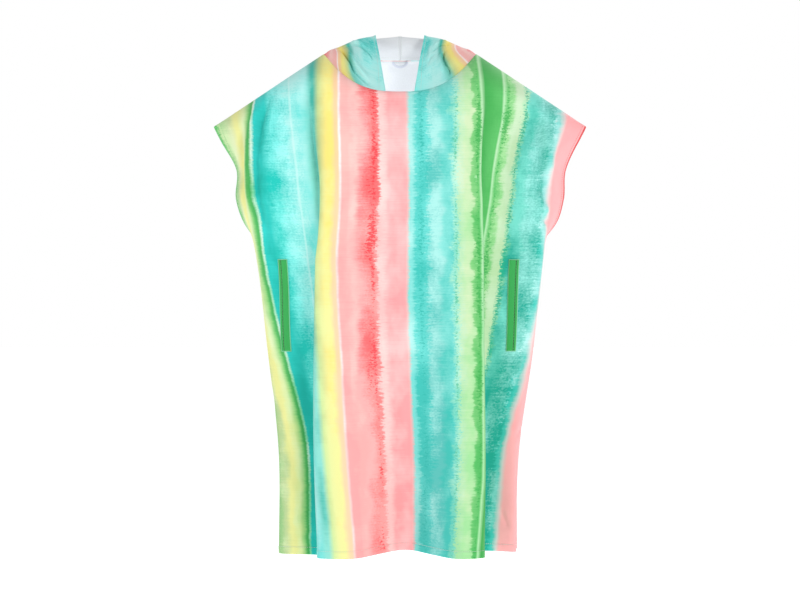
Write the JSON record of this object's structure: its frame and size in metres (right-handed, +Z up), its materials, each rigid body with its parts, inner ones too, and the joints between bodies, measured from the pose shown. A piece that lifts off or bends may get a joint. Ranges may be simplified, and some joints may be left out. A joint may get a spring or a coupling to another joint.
{
  "type": "hooded bath poncho",
  "caption": "Knee-length pull-on towelling poncho with short open sleeves, slanted side pockets and a hood worn down behind the neck.",
  "frame": {"origin": "midway between the two points where the shoulder seams meet the neckline, where the wearer's shoulders hold the poncho up", "axes": "+Z up, the front faces -Y, +X towards the wearer's left"},
  "size_m": [0.7448, 0.3351, 1.0401],
  "materials": {
    "print": "matt brushed microfibre, printed with lengthwise tie-dye stripes outside, pale inside",
    "hood": "the same printed microfibre",
    "lip": "plain matt green cloth",
    "tape": "flat woven tape"
  },
  "bodies": {
    "root": {"front_panel": "print", "back_panel": "print", "hood_left": "hood", "hood_right": "hood", "pocket_lip_left_wide": "lip", "pocket_lip_left_narrow": "lip", "pocket_lip_right_wide": "lip", "pocket_lip_right_narrow": "lip", "hanging_loop": "tape"}
  },
  "joints": []
}
